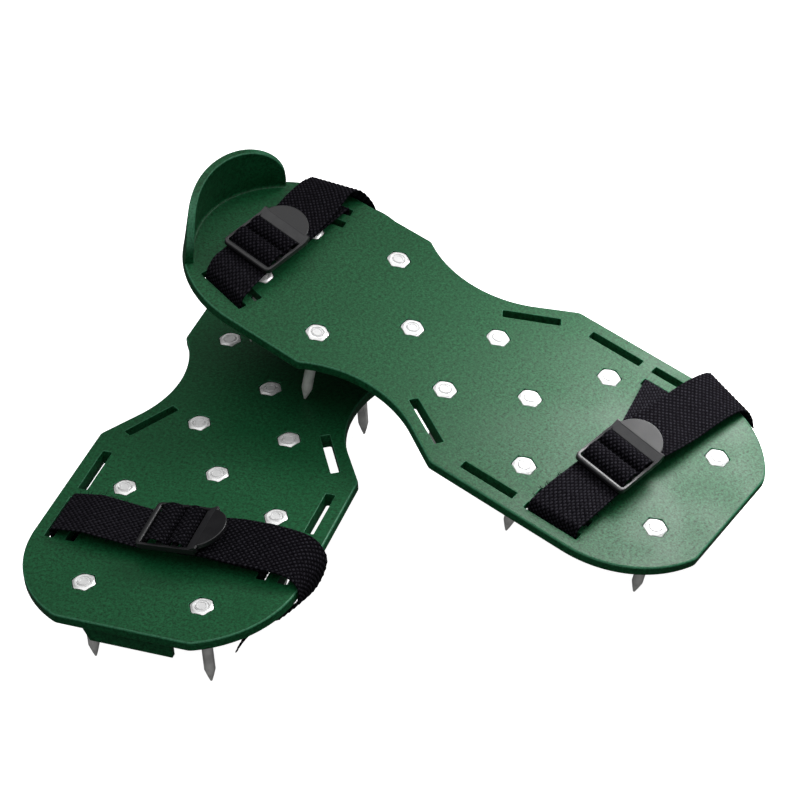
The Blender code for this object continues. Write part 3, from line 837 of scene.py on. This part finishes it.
def tail_run(strap, place):
    """The free end: from under the tab, over the sole's far edge and down."""
    across = -place.col[1].to_3d()
    starts = [place @ Vector((x, 0, -TAIL_DEPTH)) for x in (FEED_START + TAIL_SETBACK, BUCKLE_LENGTH)]
    stations = [(start, across, PINCHED_WIDTH) for start in starts]
    stations += [(Vector(point), Vector(wide).normalized(), WEB_WIDTH) for point, wide in strap["tail"]]
    return widened(curve_path(stations, CURVE_STEPS))


def hump_run():
    """Webbing over the two cross bars, in the buckle's frame."""
    stations = [(Vector((x, 0, z)), Vector((0, -1, 0)), PINCHED_WIDTH) for x, z in HUMPS]
    return curve_path(stations, CURVE_STEPS)


def evened(path):
    """Arrays of centres, width directions and half widths at equal steps along the path."""
    points = np.array([row[0] for row in path])
    wides = np.array([row[1] for row in path])
    halves = np.array([[row[2]] for row in path])
    reach = np.concatenate([[0], np.cumsum(np.linalg.norm(np.diff(points, axis=0), axis=1))])
    count = max(4, int(round(reach[-1] / (PICK / SAMPLES))))
    at = np.linspace(0, reach[-1], count + 1)
    table = np.hstack([points, wides, halves])
    even = np.column_stack([np.interp(at, reach, table[:, k]) for k in range(7)])
    kernel = np.array([1, 2, 3, 2, 1]) / 9
    padded = np.vstack([even[:1]] * 2 + [even] + [even[-1:]] * 2)
    smooth = np.column_stack([np.convolve(padded[:, k], kernel, "valid") for k in range(7)])
    smooth[[0, -1]] = even[[0, -1]]
    return smooth[:, :3], smooth[:, 3:6], smooth[:, 6], at


def yarn_heights(across, along):
    """Top and bottom relief of a plain weave at yarn coordinates, and how much the warp shows on top."""
    warp, pick = np.floor(across), np.floor(along)
    from_warp, from_pick = (across - warp - 0.5) * 2, (along - pick - 0.5) * 2
    warp_round = YARN_ROUND * (np.sqrt(np.clip(1 - from_warp**2, 0, 1)) - 1)
    pick_round = YARN_ROUND * (np.sqrt(np.clip(1 - from_pick**2, 0, 1)) - 1)
    warp_swing = YARN_SWING * np.cos(np.pi * (along - 0.5 + warp))
    pick_swing = -YARN_SWING * np.cos(np.pi * (across - 0.5 + pick)) - WEFT_DROP
    top = np.maximum(warp_swing + warp_round, pick_swing + pick_round)
    bottom = np.maximum(-warp_swing + warp_round, -pick_swing - 2 * WEFT_DROP + pick_round)
    shown = (warp_swing + warp_round > pick_swing + pick_round).astype(float)
    return top, bottom, shown


def both_faces(upper, lower):
    """Columns of the band's upper face, then those of its lower face in reverse: once round the section."""
    return np.concatenate([upper, lower[:, ::-1]], axis=1)


def woven(path, name, finish, start=0, stop=None):
    """A closed band with its weave as relief on both faces, from row start to row stop of the evened path."""
    centres, wides, halves, at = evened(path)
    tangents = np.gradient(centres, axis=0)
    normals = np.cross(tangents, wides)
    normals /= np.linalg.norm(normals, axis=1)[:, None]
    rows = slice(start, None if stop is None else stop + 1)
    centres, wides, halves, at, normals = (table[rows] for table in (centres, wides, halves, at, normals))
    columns = WARP_YARNS * SAMPLES
    share = np.linspace(0, 1, columns + 1)
    across, along = np.meshgrid(share * WARP_YARNS, at / PICK)
    top, bottom, shown = yarn_heights(np.clip(across, 0.001, WARP_YARNS - 0.001), along)
    edge = np.clip(np.minimum(share, 1 - share) * WARP_YARNS / EDGE_YARNS, 0, 1)
    edge = np.sqrt(1 - (1 - edge) ** 2) * EDGE_THINNING + (1 - EDGE_THINNING)
    base = CORE + YARN_SWING
    side = (share * 2 - 1)[None, :, None] * (halves[:, None] * wides)[:, None, :]
    middle = centres[:, None, :] + side
    upper = middle + ((base + top) * edge)[:, :, None] * normals[:, None, :]
    lower = middle - ((base + bottom) * edge)[:, :, None] * normals[:, None, :]
    rings = both_faces(upper, lower)
    relief = np.clip((both_faces(top, bottom) + YARN_SWING) / (2 * YARN_SWING), 0, 1)
    warp = both_faces(shown, 1 - shown)
    count, size = rings.shape[:2]
    index = np.arange(count * size).reshape(count, size)
    following = np.roll(index, -1, axis=1)
    quads = np.stack([index[:-1], following[:-1], following[1:], index[1:]], axis=-1).reshape(-1, 4)
    half = size // 2
    caps = []
    for row, turned_over in ((index[0], True), (index[-1], False)):
        for k in range(half - 1):
            quad = [row[k], row[k + 1], row[size - 2 - k], row[size - 1 - k]]
            caps.append(quad[::-1] if turned_over else quad)
    quads = np.vstack([quads, np.array(caps)])
    mesh = bpy.data.meshes.new(name)
    mesh.vertices.add(count * size)
    mesh.vertices.foreach_set("co", rings.astype(np.float32).ravel())
    mesh.loops.add(quads.size)
    mesh.loops.foreach_set("vertex_index", quads.astype(np.int32).ravel())
    mesh.polygons.add(len(quads))
    mesh.polygons.foreach_set("loop_start", np.arange(0, quads.size, 4, dtype=np.int32))
    mesh.update(calc_edges=True)
    mesh.validate()
    for label, values in (("relief", relief), ("warp", warp)):
        made = mesh.attributes.new(label, "FLOAT", "POINT")
        made.data.foreach_set("value", values.astype(np.float32).ravel())
    yarns = np.stack([both_faces(across, across), both_faces(along, along)], axis=-1)
    layer = mesh.uv_layers.new(name="yarns")
    layer.data.foreach_set("uv", yarns.reshape(-1, 2)[quads.ravel()].astype(np.float32).ravel())
    mesh.shade_smooth()
    mesh.materials.append(finish)
    bm = bmesh.new()
    bm.from_mesh(mesh)
    bmesh.ops.recalc_face_normals(bm, faces=bm.faces)
    bm.to_mesh(mesh)
    bm.free()
    return mesh


def filament(bm, root, out, along, up, length, sag):
    """One broken filament: a thin closed tube that curls away from the webbing's edge."""
    points = []
    for k in range(FILAMENT_RINGS):
        t = k / (FILAMENT_RINGS - 1)
        rise = length * FILAMENT_LIFT * math.sin(math.pi * t)
        points.append(root + out * (length * t) + along * (sag * t * t) + up * rise)
    rings = []
    for k, point in enumerate(points):
        radius = FILAMENT_WIDTH / 2 * (1.0 - 0.5 * k / (FILAMENT_RINGS - 1))
        turns = [2 * math.pi * i / FILAMENT_SIDES for i in range(FILAMENT_SIDES)]
        rings.append([point + along * (radius * math.cos(a)) + up * (radius * math.sin(a)) for a in turns])
    loft(bm, rings)


def frays(path, name, finish, rows, seed):
    """Broken filaments along both edges of the webbing, between two rows of the evened path."""
    centres, wides, halves, _ = evened(path)
    draws = np.random.default_rng(seed)
    bm = bmesh.new()
    for _ in range(FRAY_COUNT):
        row = int(draws.integers(*rows))
        wide, along = Vector(wides[row]), Vector(centres[row + 1] - centres[row]).normalized()
        wide *= float(draws.choice((1.0, -1.0)))
        root = Vector(centres[row]) - wide * (halves[row] - FILAMENT_WIDTH)
        length, sag = draws.uniform(*FRAY_LENGTHS), draws.uniform(*FRAY_SAGS)
        filament(bm, root, -wide, along, wide.cross(along).normalized(), length, sag)
    return mesh_from(bm, name, finish, math.radians(60))


def middle_row(path):
    """The evened path's row where the webbing crosses the shoe's centreline, below the sole."""
    centres = evened(path)[0]
    below = np.where(centres[:, 2] < RUN_DEPTH + 0.0004)[0]
    return int(below[np.argmin(np.abs(centres[below, 0]))])


# --- materials


class Look:
    """A node material under construction."""

    def __init__(self, name):
        self.made = bpy.data.materials.new(name)
        self.made.use_nodes = True
        self.nodes = self.made.node_tree.nodes
        self.links = self.made.node_tree.links
        self.shader = self.nodes["Principled BSDF"]

    def set(self, **values):
        for label, value in values.items():
            self.shader.inputs[label.replace("_", " ")].default_value = value

    def feed(self, socket, value):
        """Links another node's output to a socket, or sets a fixed number, vector or (r, g, b) colour."""
        if isinstance(value, bpy.types.NodeSocket):
            self.links.new(value, socket)
        else:
            socket.default_value = (*value, 1.0) if socket.type == "RGBA" else value

    def node(self, kind, inputs=(), **settings):
        made = self.nodes.new(kind)
        for label, value in settings.items():
            setattr(made, label, value)
        for label, value in dict(inputs).items():
            self.feed(made.inputs[label], value)
        return made

    def place(self):
        return self.node("ShaderNodeTexCoord").outputs["Object"]

    def height(self, vector):
        return self.node("ShaderNodeSeparateXYZ", {"Vector": vector}).outputs["Z"]

    def noise(self, vector, scale, detail=3.0, roughness=0.5):
        inputs = {"Vector": vector, "Scale": scale, "Detail": detail, "Roughness": roughness}
        return self.node("ShaderNodeTexNoise", inputs).outputs["Fac"]

    def between(self, value, low, high, to_low=0.0, to_high=1.0):
        inputs = {"Value": value, "From Min": low, "From Max": high, "To Min": to_low, "To Max": to_high}
        return self.node("ShaderNodeMapRange", inputs, interpolation_type="SMOOTHSTEP").outputs["Result"]

    def mixed(self, share, low, high):
        return self.node("ShaderNodeMix", {0: share, 6: low, 7: high}, data_type="RGBA").outputs[2]

    def maths(self, operation, first, second):
        return self.node("ShaderNodeMath", {0: first, 1: second}, operation=operation).outputs[0]

    def bump(self, height, distance, strength=1.0, below=None):
        inputs = {"Height": height, "Distance": distance, "Strength": strength}
        if below is not None:
            inputs["Normal"] = below
        return self.node("ShaderNodeBump", inputs).outputs["Normal"]

    def use(self, **sockets):
        for label, socket in sockets.items():
            self.links.new(socket, self.shader.inputs[label.replace("_", " ")])


def lit_edge_share(look):
    """Mask for the painted edge highlight: 1 on rounded edges that face half up, 0 on faces that lie flat or
    stand upright.
    """
    facing = look.node("ShaderNodeTexCoord").outputs["Normal"]
    up = look.height(facing)
    return look.maths("MULTIPLY", look.between(up, 0.15, 0.45), look.between(up, 0.985, 0.90))


def green_plastic():
    """Moulded green plastic with a fine, uneven leather grain and a painted highlight on edges that face half
    up.
    """
    look = Look("green_plastic")
    place = look.place()
    coarse = look.noise(place, 560.0, 2.0, 0.55)
    fine = look.noise(place, 1050.0, 3.0, 0.65)
    broad = look.noise(place, 30.0, 3.0, 0.55)
    tone = look.maths("ADD", look.maths("MULTIPLY", fine, 0.6), look.maths("MULTIPLY", coarse, 0.4))
    speckled = look.mixed(look.between(tone, 0.29, 0.71), (0.0002, 0.022, 0.0050), (0.0105, 0.112, 0.0400))
    shaded = look.mixed(look.between(broad, 0.3, 0.75, 0.0, 0.30), speckled, (0.0020, 0.050, 0.0155))
    height = look.height(place)
    # Painted highlight: rounded edges that face half up, but not the cup's fillet, are lightened towards a
    # pale green, speckled by the grain.
    fillet = look.maths("MULTIPLY", look.between(height, 0.0, 0.0002), look.between(height, 0.0024, 0.0018))
    raised = look.maths("MULTIPLY", lit_edge_share(look), look.maths("SUBTRACT", 1.0, fillet))
    edge_highlight = look.maths("MULTIPLY", raised, look.between(fine, 0.3, 0.6, 0.35, 0.75))
    look.use(
        Base_Color=look.mixed(edge_highlight, shaded, (0.045, 0.185, 0.100)),
        Roughness=look.between(look.maths("ADD", tone, broad), 0.75, 1.25, 0.50, 0.38),
        Normal=look.bump(tone, 0.00017, 0.6),
    )
    look.set(Specular_IOR_Level=0.19)
    return look.made


def zinc_steel():
    """Bright zinc plating with soft blotches and fine turning marks."""
    look = Look("zinc_steel")
    place = look.place()
    blotch = look.noise(place, 420.0, 3.0)
    fine = look.noise(place, 2600.0, 2.0)
    look.use(
        Base_Color=look.mixed(look.between(blotch, 0.3, 0.7), (0.74, 0.74, 0.735), (0.92, 0.92, 0.92)),
        Roughness=look.between(blotch, 0.25, 0.8, 0.34, 0.48),
        Normal=look.bump(fine, 0.00003, 0.5),
    )
    look.set(Metallic=0.45)
    return look.made


def spike_steel():
    """Dull plated steel, streaked along the spike and still bright at the screw's end."""
    look = Look("spike_steel")
    place = look.place()
    stretched = look.node("ShaderNodeMapping", {"Vector": place, "Scale": (1.0, 1.0, 0.12)}).outputs[0]
    streak = look.noise(stretched, 1100.0, 3.0)
    blotch = look.noise(place, 160.0, 3.0)
    height = look.height(place)
    dull = look.mixed(look.between(blotch, 0.3, 0.7), (0.66, 0.66, 0.645), (0.92, 0.92, 0.90))
    look.use(
        Base_Color=look.mixed(look.between(height, -0.004, -0.002), dull, (0.66, 0.66, 0.66)),
        Roughness=look.between(streak, 0.3, 0.7, 0.36, 0.54),
        Normal=look.bump(streak, 0.00004, 0.5),
    )
    look.set(Metallic=0.15)
    return look.made


def black_plastic():
    """Moulded black plastic, finely spark-eroded, with a painted highlight on edges that face half up."""
    look = Look("black_plastic")
    place = look.place()
    fine = look.noise(place, 1500.0, 3.0, 0.6)
    broad = look.noise(place, 150.0, 3.0)
    # Painted highlight: rounded edges that face half up are a lighter grey.
    wear_and_edge_highlight = look.mixed(lit_edge_share(look), (0.0085, 0.0083, 0.0095), (0.024, 0.024, 0.026))
    look.use(
        Base_Color=look.mixed(look.between(broad, 0.3, 0.7, 0.0, 0.5), wear_and_edge_highlight, (0.0125, 0.0125, 0.0140)),
        Roughness=look.between(broad, 0.25, 0.75, 0.28, 0.40),
        Normal=look.bump(fine, 0.00003, 0.5),
    )
    look.set(Specular_IOR_Level=0.36)
    return look.made


def black_webbing():
    """Polypropylene webbing: a painted highlight on the raised warp and painted shade, near black, in the
    hollows.
    """
    look = Look("black_webbing")
    relief = look.node("ShaderNodeAttribute", attribute_name="relief").outputs["Fac"]
    warp = look.node("ShaderNodeAttribute", attribute_name="warp").outputs["Fac"]
    yarns = look.node("ShaderNodeUVMap", uv_map="yarns").outputs["UV"]
    drawn = look.node("ShaderNodeMapping", {"Vector": yarns, "Scale": (8.0, 1.3, 1.0)}).outputs[0]
    crossed = look.node("ShaderNodeMapping", {"Vector": yarns, "Scale": (1.3, 8.0, 1.0)}).outputs[0]
    fibres = look.noise(drawn, 1.0, 3.0, 0.6)
    picks = look.noise(crossed, 1.0, 3.0, 0.6)
    strands = look.node("ShaderNodeMix", {0: warp, 2: picks, 3: fibres}, data_type="FLOAT").outputs[0]
    spotted = look.node("ShaderNodeMapping", {"Vector": yarns, "Scale": (0.7, 0.7, 1.0)}).outputs[0]
    uneven = look.noise(spotted, 1.0, 2.0)
    # Painted highlight and shade: the raised yarns, the warp more than the weft, are lit towards the bright
    # colour, and the hollows stay near black.
    warp_share = look.maths("ADD", look.maths("MULTIPLY", warp, 0.8), 0.2)
    raised = look.maths("MULTIPLY", look.between(relief, 0.0, 0.60), warp_share)
    lit = look.maths("MULTIPLY", raised, look.between(uneven, 0.30, 0.72, 0.35, 1.0))
    dark, bright = (0.0008, 0.0006, 0.0013), (0.0250, 0.0235, 0.0300)
    tone = look.mixed(lit, dark, bright)
    streaked = look.mixed(look.between(strands, 0.40, 0.70, 0.0, 0.45), tone, (0.0034, 0.0031, 0.0042))
    look.use(
        Base_Color=streaked,
        Roughness=look.between(raised, 0.0, 1.0, 0.95, 0.62),
        Normal=look.bump(strands, 0.00014, 0.6),
    )
    look.set(Specular_IOR_Level=0.03)
    return look.made


# --- the shoes


def lower_frame():
    return Matrix.Translation((*LOWER_HEEL_END, SPIKE_DEPTH))


def upper_frame():
    heel_y = POSITIONS["heel_right"][1]
    toe_y = POSITIONS["toe_right"][1]
    slope = math.asin((SPIKE_DEPTH + GAP) / (toe_y - heel_y))
    height = SPIKE_DEPTH * math.cos(slope) + (toe_y + POINT_RADIUS) * math.sin(slope)
    x = LOWER_HEEL_END[0] + UPPER_HEEL_OFFSET[0]
    y = LOWER_HEEL_END[1] + UPPER_HEEL_OFFSET[1]
    turn = Matrix.Rotation(UPPER_TURN, 4, "Z") @ Matrix.Rotation(-slope, 4, "X")
    return Matrix.Translation((x, y, height)) @ turn


def piece(name, mesh, matrix, body, slot, *replaced):
    obj = new_object(name, mesh, matrix)
    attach(obj, body)
    if replaced:
        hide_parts(*replaced)
    return obj


def lifting(name, mesh, matrix):
    """A piece of webbing with its placement baked into the mesh; it is not attached to a body."""
    obj = new_object(name, mesh, matrix)
    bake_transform(obj)
    return obj


def weighted(obj):
    """Keeps broad faces flat beside their rounded edges."""
    step = obj.modifiers.new("normals", "WEIGHTED_NORMAL")
    step.keep_sharp = True
    step.weight = 80


def make_strap(label, matrix, finish):
    strap = STRAPS[label]
    prefix = label.split("_")[0]
    shoe, buckle = f"{prefix}_shoe", f"{label}_buckle"
    place = buckle_frame(strap)
    run = main_run(strap, place)
    split = middle_row(run)
    near = woven(run, f"{label}_web_near", finish, 0, split)
    far = woven(run, f"{label}_web_far", finish, split)
    tail = woven(tail_run(strap, place), f"{label}_web_tail", finish)
    piece(f"{label}_web_near", near, matrix, shoe, "webbing", f"{label}_strap")
    rows = FRAYED_ROWS.get(label)
    if rows:
        wear_and_edge_highlight = frays(run, f"{label}_web_frays", finish, rows, len(label) + rows[0])
        piece(f"{label}_web_frays", wear_and_edge_highlight, matrix, shoe, "webbing")
    lifting(f"{label}_web_far", far, matrix)
    lifting(f"{label}_web_tail", tail, matrix)


def make_shoe(prefix, matrix, meshes, finishes):
    shoe = f"{prefix}_shoe"
    weighted(piece(f"{prefix}_moulding", meshes["sole"], matrix, shoe, "sole", f"{prefix}_sole"))
    for spot, (x, y) in POSITIONS.items():
        at = matrix @ Matrix.Translation((x, y, 0))
        piece(f"{prefix}_tine_{spot}", meshes["spike"], at, shoe, "spike", f"{prefix}_spike_{spot}")
        piece(f"{prefix}_hexnut_{spot}", meshes["nut"], at, shoe, "nut", f"{prefix}_nut_{spot}")
    for end in ("toe", "heel"):
        label = f"{prefix}_{end}"
        buckle = f"{label}_buckle"
        at = matrix @ buckle_frame(STRAPS[label])
        weighted(piece(f"{label}_ladderlock", meshes["buckle"], at, buckle, "buckle", buckle))
        piece(f"{label}_web_humps", meshes["humps"], at, buckle, "webbing")
        make_strap(label, matrix, finishes["webbing"])


# --- floor, light and camera


def studio_floor():
    """A plain white sweep: a floor that turns up into a wall far behind."""
    profile = [(FLOOR_RADIUS, 0.0)]
    for side, up in quarter(FLOOR_STEPS)[1:]:
        profile.append((FLOOR_RADIUS + FLOOR_BEND * up, FLOOR_BEND * side))
    profile.append((FLOOR_RADIUS + FLOOR_BEND, WALL_HEIGHT))
    bm = bmesh.new()
    rings = [[(x, y, z - FLOOR_DROP) for x, y in polygon((0, 0), r, FLOOR_SIDES)] for r, z in profile]
    bm.faces.new(loft(bm, rings, closed_ends=False)[0])
    look = Look("white_sweep")
    blotch = look.noise(look.place(), 3.0)
    look.use(Base_Color=look.mixed(blotch, [FLOOR_WHITE * 0.98] * 3, [FLOOR_WHITE] * 3))
    look.set(Roughness=1.0, Emission_Color=(1, 1, 1, 1), Emission_Strength=FLOOR_GLOW, Specular_IOR_Level=0.0)
    floor = new_object("floor", mesh_from(bm, "floor", look.made, math.radians(40)))
    floor.visible_diffuse = False
    floor.visible_glossy = False
    floor.visible_shadow = False


def softbox(name, place, target, side, radiance, spread):
    light = bpy.data.lights.new(name, "AREA")
    light.shape = "SQUARE"
    light.size = side
    light.energy = radiance * math.pi * side**2
    light.spread = spread
    obj = new_object(name, light)
    obj.location = place
    obj.rotation_mode = "QUATERNION"
    obj.rotation_quaternion = (Vector(target) - Vector(place)).to_track_quat("-Z", "Y")


def studio_light():
    """A sky that darkens above the horizon, two soft boxes that gloss the upper toe, and a low front fill."""
    world = bpy.data.worlds.new("studio")
    bpy.context.scene.world = world
    world.use_nodes = True
    nodes, links = world.node_tree.nodes, world.node_tree.links
    back = nodes["Background"]
    place = nodes.new("ShaderNodeTexCoord")
    parts = nodes.new("ShaderNodeSeparateXYZ")
    links.new(place.outputs["Generated"], parts.inputs[0])
    rise = nodes.new("ShaderNodeMapRange")
    rise.interpolation_type = "SMOOTHSTEP"
    links.new(parts.outputs["Z"], rise.inputs["Value"])
    for label, value in zip(("From Min", "From Max", "To Min", "To Max"), SKY):
        rise.inputs[label].default_value = value
    links.new(rise.outputs["Result"], back.inputs["Strength"])
    back.inputs["Color"].default_value = (1, 1, 1, 1)
    toe = upper_frame() @ Vector((0.0, TOE_AIM_Y, 0.0))
    normal = upper_frame().col[2].to_3d()
    view = (toe - Vector(CAMERA_PLACE)).normalized()
    mirrored = view - 2 * view.dot(normal) * normal
    for name, (away, side, radiance, spread) in (("near_box", NEAR_BOX), ("far_box", FAR_BOX)):
        softbox(name, toe + mirrored * away, toe, side, radiance, spread)
    away, side, radiance, rise_angle = FRONT_BOX
    level = Vector((CAMERA_PLACE[0], CAMERA_PLACE[1], 0.0)).normalized()
    low = level * math.cos(rise_angle) + Vector((0, 0, 1)) * math.sin(rise_angle)
    softbox("front_box", low * away, (0, 0, 0), side, radiance, math.pi)


def camera():
    data = bpy.data.cameras.new("camera")
    data.lens = CAMERA_LENS
    data.sensor_width = SENSOR
    data.clip_start = 0.05
    data.clip_end = 20.0
    right, up = Vector(CAMERA_RIGHT), Vector(CAMERA_UP)
    turn = Matrix((right, up, right.cross(up))).transposed()
    place = Matrix.Translation(CAMERA_PLACE) @ turn.to_4x4()
    bpy.context.scene.camera = new_object("camera", data, place)


def main():
    bpy.context.scene.view_settings.view_transform = "Standard"
    finishes = {"webbing": black_webbing()}
    meshes = {
        "sole": sole_mesh(green_plastic()),
        "spike": spike_mesh(spike_steel()),
        "nut": nut_mesh(zinc_steel()),
        "buckle": buckle_mesh(black_plastic()),
        "humps": woven(hump_run(), "web_humps", finishes["webbing"]),
    }
    make_shoe("lower", lower_frame(), meshes, finishes)
    make_shoe("upper", upper_frame(), meshes, finishes)
    studio_floor()
    studio_light()
    camera()


main()
